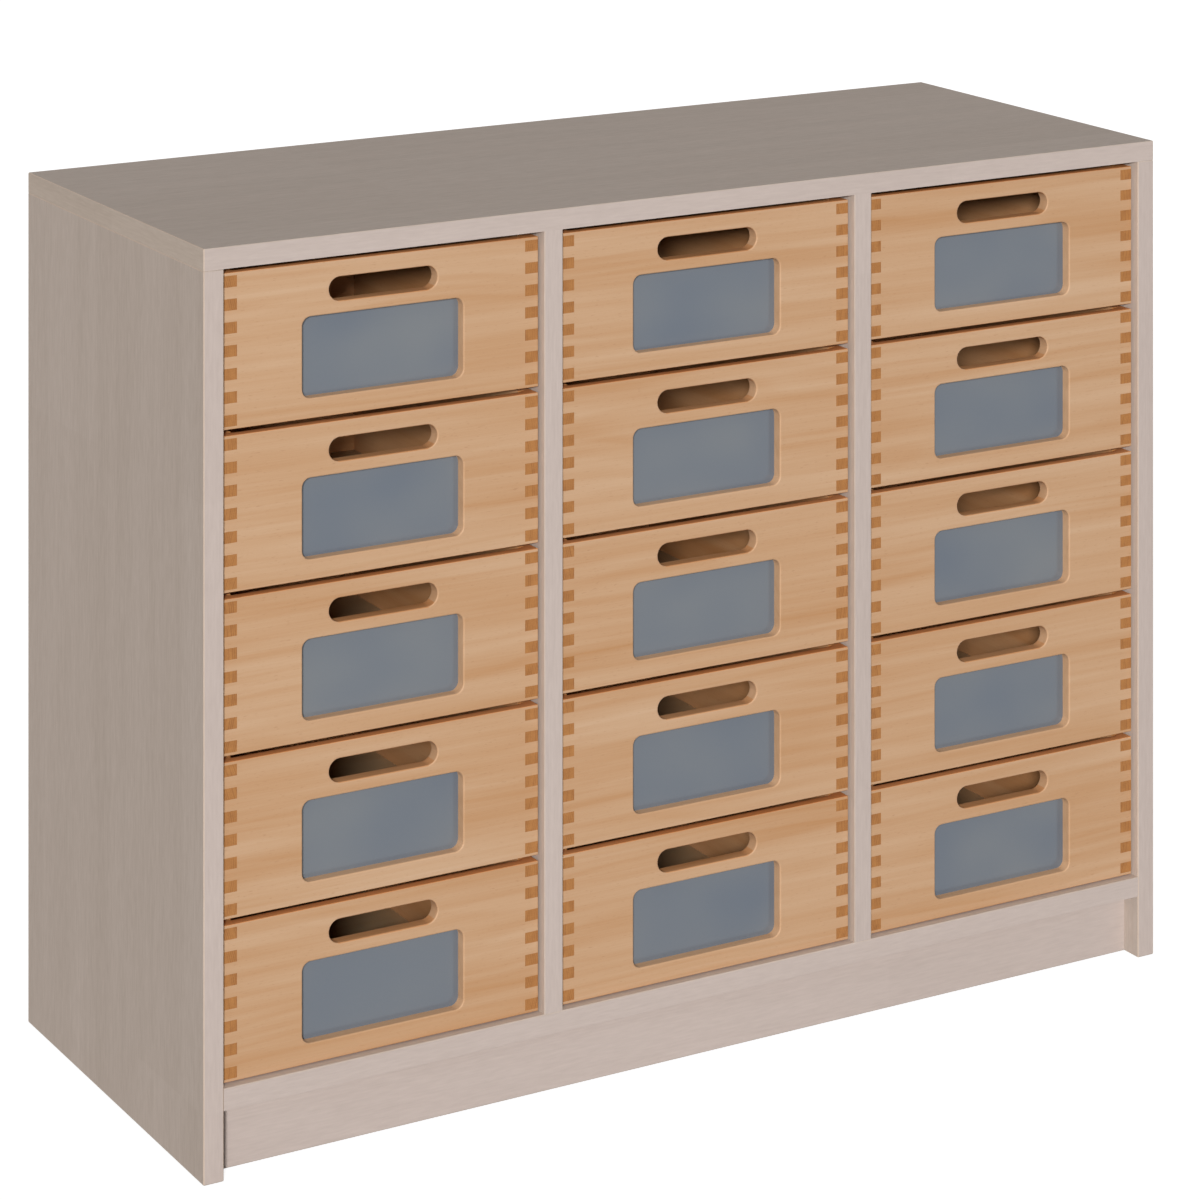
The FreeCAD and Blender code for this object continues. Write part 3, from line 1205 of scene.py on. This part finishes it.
@dataclass
class Drawer:
    """A drawer in its own frame: centred on X, its face at Y = 0 and its lower edge at Z = 0."""

    width: float = 926.8 / 3
    length: float = 357.0
    height: float = 134.5
    board: float = 13.5
    fingers: int = 7
    land: float = 2.6
    lap: float = 5.0
    bottom_rise: float = 4.0
    bottom_thickness: float = 4.0
    bottom_tongue: float = 5.0
    bottom_play: float = 0.5
    slot_length: float = 106.0
    slot_height: float = 20.8
    slot_drop: float = 14.8
    window_length: float = 157.5
    window_rise: float = 17.5
    window_below_slot: float = 10.8
    window_radius: float = 8.0
    pane_thickness: float = 3.0
    pane_sunk: float = 0.2
    pane_lap: float = 6.0
    pane_play: float = 0.3
    groove: Span = (59.3, 74.3)
    groove_depth: float = 5.0
    groove_stop: float = 17.0
    arris: float = 0.8
    bottom_arris: float = 0.4
    pane_arris: float = 0.3
    rim: float = 1.5
    hand_round: float = 7.0
    hand_steps: int = 5

    @property
    def half(self) -> float:
        """Half the width."""
        return self.width / 2

    @property
    def inner(self) -> float:
        """Half the inside width."""
        return self.half - self.board

    @property
    def slot_levels(self) -> Span:
        """Z of the handle slot's lower and upper edge."""
        middle = self.height - self.slot_drop - self.slot_height / 2
        return middle - self.slot_height / 2, middle + self.slot_height / 2

    @property
    def window_top(self) -> float:
        """Z of the window's upper edge."""
        return self.slot_levels[0] - self.window_below_slot

    @property
    def pane_face(self) -> float:
        """Y of the pane's front."""
        return self.board - self.pane_sunk - self.pane_thickness

    @property
    def bottom_levels(self) -> Span:
        """Z of the bottom's lower and upper face."""
        return self.bottom_rise, self.bottom_rise + self.bottom_thickness

    def finger_levels(self) -> list[Span]:
        """Sets out the fingers of a side board.

        Returns:
            The (low, high) pair in Z of each.
        """
        finger = (self.height - 2 * self.land) / (2 * self.fingers - 1)
        starts = [self.land + 2 * finger * index for index in range(self.fingers)]
        return [(start, start + finger) for start in starts]

    def in_finger(self, level: float) -> bool:
        """Whether a height lies in a side board's finger."""
        return any(low < level < high for low, high in self.finger_levels())

    def build_front(self) -> Piece:
        """Makes the front: a comb at both ends, with the handle slot, the window and a groove for the bottom.

        Returns:
            The board.
        """
        half, inner, board, height = self.half, self.inner, self.board, self.height
        bench = Bench.stocked("model_front", Block((-inner, inner), (0, board), (0, height)))
        bench.split(Z, [level for pair in self.finger_levels() for level in pair])
        for wall in Wall:
            bench.pull(lambda spot: spot.lies(X, wall.value * inner) and not self.in_finger(spot.middle.z),
                       (wall.value * board, 0, 0))
        bench.clean()
        bench.soften(lambda spot: sum((spot.lies(Y, 0), spot.lies(Z, 0, height),
                                       spot.lies(X, -half, half))) == 2, self.arris)
        slot, window = self.slot_length / 2, self.window_length / 2
        seat, reach, through = window + self.pane_lap, inner + self.bottom_tongue, (-PAST, board + PAST)
        bench.carve(
            Block((-slot, slot), through, self.slot_levels, self.slot_height / 2 - HAIR),
            Block((-window, window), through, (self.window_rise, self.window_top), self.window_radius),
            Block((-seat, seat), (self.pane_face, board + PAST),
                  (self.window_rise - self.pane_lap, self.window_top + self.pane_lap)),
            Block((-reach, reach), (board - self.bottom_tongue, board + PAST), self.bottom_levels))
        bench.soften(lambda spot: spot.lies(Y, 0) and abs(spot.middle.x) < window + MARGIN
                     and self.window_rise - MARGIN < spot.middle.z < self.slot_levels[1] + MARGIN, self.rim)
        bench.split(X, [-inner, inner])
        bench.soften(lambda spot: spot.lies(Y, board) and spot.lies(Z, height) and abs(spot.middle.x) < inner,
                     self.hand_round, self.hand_steps)
        bench.clean()
        above_pane = self.window_top + self.pane_lap + MARGIN
        bench.soften(lambda spot: spot.lies(Y, board) and abs(spot.middle.x) < slot + MARGIN
                     and above_pane < spot.middle.z < self.slot_levels[1] + MARGIN, self.rim)
        return bench.done()

    def build_side(self) -> Piece:
        """Makes the left side: fingers at the front, a lap at the rear and a groove in each face.

        Returns:
            The board, before its faces are finished.
        """
        outer, inner, board, length, height = -self.half, -self.inner, self.board, self.length, self.height
        bench = Bench.stocked("model_side", Block((outer, inner), (board, length), (0, height)))
        bench.split(Z, [level for pair in self.finger_levels() for level in pair])
        bench.pull(lambda spot: spot.lies(Y, board) and self.in_finger(spot.middle.z), (0, -board, 0))
        bench.clean()
        bench.soften(lambda spot: (spot.lies(X, outer) and (spot.lies(Y, 0) or spot.lies(Z, 0)))
                     or (spot.lies(Z, height) and spot.lies(X, outer, inner))
                     or (spot.lies(Y, length) and not spot.lies(X, inner)), self.arris)
        bench.carve(
            Block((outer - PAST, outer + self.groove_depth), (self.groove_stop, length + PAST), self.groove),
            Block((inner - self.bottom_tongue, inner + PAST), (board - self.bottom_tongue, length + PAST),
                  self.bottom_levels),
            Block((inner - self.lap, inner + PAST), (length - board, length + PAST),
                  (self.bottom_levels[1], height + PAST)))
        leave_edit_mode()
        return bench.piece

    def build_back(self) -> Piece:
        """Makes the rear board, lapped into both sides.

        Returns:
            The board.
        """
        half, levels = self.inner + self.lap, (self.bottom_levels[1], self.height)
        return eased("model_back", Block((-half, half), (self.length - self.board, self.length), levels),
                     lambda spot: spot.lies(Z, self.height), self.arris)

    def build_bottom(self) -> Piece:
        """Makes the plywood bottom, which slides in from the rear.

        Returns:
            The board.
        """
        tongue = self.bottom_tongue - self.bottom_play
        half, depths = self.inner + tongue, (self.board - tongue, self.length)
        return eased("model_bottom", Block((-half, half), depths, self.bottom_levels),
                     lambda spot: spot.lies(Y, self.length), self.bottom_arris, FEW_STEPS)

    def build_pane(self) -> Piece:
        """Makes the pane behind the window, with sawn and eased edges.

        Returns:
            The pane.
        """
        inset = self.pane_lap - self.pane_play
        half, faces = self.window_length / 2 + inset, (self.pane_face, self.pane_face + self.pane_thickness)
        return eased("model_pane", Block((-half, half), faces,
                                         (self.window_rise - inset, self.window_top + inset)),
                     lambda spot: spot.lies(Y, *faces), self.pane_arris, FEW_STEPS)


@dataclass
class DrawerBank:
    """Every drawer of the unit, as copies of one set of boards."""

    carcass: Carcass
    drawer: Drawer
    rows: int = 5
    setback: float = 7.5
    first_rise: float = 80.3
    pitch: float = 139.7
    # How much of a normal lies along Z in an edge at least, and along Y, at most, in a reveal or round that
    # takes the beech with painted light.
    edge_share: float = 0.7
    face_share: float = 0.8

    def models(self) -> dict[Board, Piece]:
        """Makes one of each board.

        Returns:
            Each of them.
        """
        left = self.drawer.build_side()
        right = mirror_of(left, "model_side_right")
        return {
            Board.FRONT: self.drawer.build_front(),
            Board.LEFT: Bench(left).done(),
            Board.RIGHT: Bench(right).done(),
            Board.REAR: self.drawer.build_back(),
            Board.BOTTOM: self.drawer.build_bottom(),
            Board.PANE: self.drawer.build_pane(),
        }

    def dress_front(self, piece: Piece, place: Vector) -> None:
        """Gives a front its finishes: lacquered, with painted light on its edges and reveals, and sawn at its
        fingers.

        Args:
            piece: The board.
            place: Where the drawer's own origin is.
        """
        drawer = self.drawer

        def is_end(at: Vector, normal: Vector) -> bool:
            """Whether a face is the end of a finger."""
            return abs(normal.x) > FACING and abs(at.x - place.x) > drawer.inner + MARGIN

        def is_edge(at: Vector, normal: Vector) -> bool:
            """Whether a face is in the board's upper or lower edge."""
            inside = MARGIN < at.z - place.z < drawer.height - MARGIN
            return abs(normal.z) > self.edge_share and not inside

        def is_slot(at: Vector, normal: Vector) -> bool:
            """Whether a face looks up or down above the window, as in the handle slot."""
            above = at.z - place.z > drawer.window_top + drawer.window_below_slot / 2
            return abs(normal.z) > self.edge_share and above

        # Painted light on the front: warm bounce light on its upper and lower edges and in the slot, and a
        # lighter beech on its other reveals and rounds.
        dress(piece, Lay(X, Z, Y, pith=70.0, stray=70.0), BEECH, (END_GRAIN, is_end), (EDGE_PAINTED_BOUNCE, is_edge),
              (INSIDE_PAINTED_BOUNCE, is_slot), (REVEAL_PAINTED_LIGHT, lambda _, normal: abs(normal.y) < self.face_share))

    def dress_side(self, piece: Piece, place: Vector) -> None:
        """Gives a side its finishes: painted warm bounce light inside, and lacquered outside down to the
        floor of its groove.

        Args:
            piece: The board.
            place: Where the drawer's own origin is.
        """
        outside = self.drawer.half - self.drawer.groove_depth - MARGIN
        # The inner faces take the beech with painted warm bounce light.
        dress(piece, Lay(Y, Z, X, pith=300.0, stray=40.0), INSIDE_PAINTED_BOUNCE, (END_GRAIN, facing(Y)),
              (BEECH, lambda at, normal: abs(at.x - place.x) > outside and abs(normal.z) < FACING))

    def dress_board(self, name: str, board: Board, piece: Piece, place: Vector) -> None:
        """Gives one board of a drawer its finish and ties it to the frame.

        Args:
            name: The drawer's name.
            board: Which board it is.
            piece: The board.
            place: Where the drawer's own origin is.
        """
        if board is Board.FRONT:
            self.dress_front(piece, place)
        elif board in (Board.LEFT, Board.RIGHT):
            self.dress_side(piece, place)
        elif board is Board.REAR:
            # Most of the rear board takes the beech with painted warm bounce light; its outer face takes the
            # plain beech.
            dress(piece, Lay(X, Z, Y), INSIDE_PAINTED_BOUNCE, (END_GRAIN, facing(X)),
                  (BEECH, lambda _, normal: normal.y > FACING))
        elif board is Board.BOTTOM:
            dress(piece, Lay(X, Y, Z, pith=0.0), PLYWOOD)
        else:
            dress(piece, Lay(X, Z, Y), ACRYLIC)
        _, slot, node = board.value
        settle(piece, name, slot, f"{name}_{node}")

    def build(self) -> None:
        """Makes every drawer."""
        models = self.models()
        for column in range(self.carcass.columns):
            middle = self.carcass.compartment_left(column) + self.carcass.compartment / 2
            for row in range(self.rows):
                name = f"drawer_{chr(ord('a') + column)}{self.rows - row}"
                place = Vector((middle, self.carcass.front + self.setback,
                                self.first_rise + self.pitch * row))
                for board, model in models.items():
                    self.dress_board(name, board, copy_of(model, f"{name}_{board.value[0]}", place), place)
        for model in models.values():
            bpy.data.meshes.remove(model.data)


@dataclass(frozen=True)
class Lamp:
    """A soft lamp that doesn't fade with distance, as if it were a large and far one."""

    name: str
    power: float
    radius: float
    place: tuple[float, float, float]
    gives_highlights: bool = True

    def build(self) -> None:
        """Makes the lamp."""
        data = bpy.data.lights.new(self.name, "POINT")
        data.energy = 1.0
        data.shadow_soft_size = self.radius
        data.use_nodes = True
        data.node_tree.nodes.clear()
        even = add_node(data.node_tree, "LightFalloff", {"Strength": self.power})["Constant"]
        beam = add_node(data.node_tree, "Emission", {"Strength": even})[0]
        add_node(data.node_tree, "OutputLight", {"Surface": beam})
        lamp = bpy.data.objects.new(self.name, data)
        bpy.context.scene.collection.objects.link(lamp)
        lamp.location = self.place
        lamp.visible_glossy = self.gives_highlights


@dataclass
class Studio:
    """A pale floor, a soft key from the upper left, a weaker fill from behind, an even sky, and the camera.

    Lengths are in metres here, apart from the film's width. The image, the focal length and the centre of the
    picture are in pixels.
    """

    key: Lamp = Lamp("key", 38.8, 0.47, (-4.03, -6.39, 2.68))
    fill: Lamp = Lamp("fill", 19.0, 0.4, (5.6, 5.2, 0.45), gives_highlights=False)
    sky: float = 0.225
    floor_size: float = 60.0
    floor_level: float = -0.0005
    floor_bounce: str = "#959595"
    floor_seen: str = "#969696"
    floor_glow: Span = (0.86, 0.96)
    floor_fade: Span = (1.2, 4.5)
    image: float = 1200.0
    focal: float = 3939.2968
    centre: Span = (614.8007, -574.0223)
    yaw: float = 0.526207858811
    stand: tuple[float, float, float] = (-1.8898234, -3.2762338, 1.4989643)
    film: float = 36.0
    sight: Span = (0.05, 100.0)

    def seen_directly(self, tree: Tree) -> Socket:
        """Tells what is looked at from what only lights the object.

        Args:
            tree: The tree of a material or of the world.

        Returns:
            1 for camera, glossy and transmission rays, and 0 for the light that falls on the object.
        """
        path = add_node(tree, "LightPath")
        shiny = add_node(tree, "Math", {0: path["Is Glossy Ray"], 1: path["Is Transmission Ray"]},
                         operation="MAXIMUM")[0]
        return add_node(tree, "Math", {0: path["Is Camera Ray"], 1: shiny}, operation="MAXIMUM")[0]

    def build_floor(self) -> None:
        """Makes the floor, which keeps a pale shadow near the unit and is white further out."""
        leave_edit_mode()
        bpy.ops.mesh.primitive_plane_add(size=self.floor_size, location=(0, 0, self.floor_level))
        floor = bpy.context.object
        floor.name = "studio_floor"
        material = bpy.data.materials.new("studio_floor_paper")
        material.use_nodes = True
        tree = material.node_tree
        tree.nodes.clear()
        place = add_node(tree, "TexCoord")["Object"]
        reach = add_node(tree, "VectorMath", {0: place}, operation="LENGTH")["Value"]
        level = add_node(tree, "MapRange", {0: reach, 1: self.floor_fade[0], 2: self.floor_fade[1],
                                            3: self.floor_glow[0], 4: self.floor_glow[1]},
                         interpolation_type="SMOOTHSTEP")[0]
        seen = add_node(tree, "BsdfDiffuse", {"Color": linear(self.floor_seen)})[0]
        glow = add_node(tree, "Emission", {"Strength": level})[0]
        white = add_node(tree, "AddShader", {0: seen, 1: glow})[0]
        bounce = add_node(tree, "BsdfDiffuse", {"Color": linear(self.floor_bounce)})[0]
        surface = add_node(tree, "MixShader", {0: self.seen_directly(tree), 1: bounce, 2: white})[0]
        add_node(tree, "OutputMaterial", {"Surface": surface})
        floor.data.materials.append(material)

    def build_sky(self) -> None:
        """Makes the sky, which is white where it is seen and dim where it lights."""
        world = bpy.data.worlds.new("studio_sky")
        bpy.context.scene.world = world
        world.use_nodes = True
        tree = world.node_tree
        tree.nodes.clear()
        dim, white = [add_node(tree, "Background", {"Color": (1, 1, 1, 1), "Strength": strength})[0]
                      for strength in (self.sky, 1.0)]
        surface = add_node(tree, "MixShader", {0: self.seen_directly(tree), 1: dim, 2: white})[0]
        add_node(tree, "OutputWorld", {"Surface": surface})

    def build_camera(self) -> None:
        """Makes the camera and the standard that it hangs on.

        The lens looks level while the film stands upright, as in a view camera whose standards are shifted:
        uprights stay parallel in the picture. The standard carries that, so the camera needs no large shift.
        """
        right = Vector((math.cos(self.yaw), -math.sin(self.yaw), 0))
        ahead = Vector((math.sin(self.yaw), math.cos(self.yaw), 0))
        up = Vector((0, 0, 1))
        drop = -(self.image / 2 - self.centre[1]) / self.focal
        back = -ahead - drop * up
        stretch = back.length
        back = back / stretch
        data = bpy.data.cameras.new("camera")
        data.sensor_fit = "HORIZONTAL"
        data.sensor_width = self.film
        data.lens = self.focal * stretch / self.image * self.film
        data.shift_x = (self.image / 2 - self.centre[0]) / self.image
        data.clip_start, data.clip_end = self.sight
        camera = bpy.data.objects.new("camera", data)
        standard = bpy.data.objects.new("camera_standard", None)
        for made in (camera, standard):
            bpy.context.scene.collection.objects.link(made)
        lean = up.dot(back)
        over, under = (up + back).normalized(), (back - up).normalized()
        turn = Matrix((right, -under, over)).transposed().to_4x4()
        squeeze = Matrix.Diagonal((1, math.sqrt(1 - lean), math.sqrt(1 + lean), 1))
        standard.matrix_world = Matrix.Translation(self.stand) @ turn @ squeeze
        camera.parent = standard
        # At 45 degrees its own axes lie evenly between the two that the standard stretches.
        camera.rotation_euler = (math.radians(45), 0, 0)
        bpy.context.scene.camera = camera

    def build(self) -> None:
        """Makes the studio."""
        self.build_floor()
        self.key.build()
        self.fill.build()
        self.build_sky()
        self.build_camera()
        bpy.context.scene.view_settings.view_transform = "Standard"


def main() -> None:
    """Builds the studio and the unit, in order."""
    logging.basicConfig(level=logging.INFO, format="%(message)s")
    Studio().build()
    carcass = Carcass()
    carcass.build()
    Runners(carcass).build()
    BackScrews(carcass).build()
    DrawerBank(carcass, Drawer()).build()


if __name__ == "__main__":
    main()
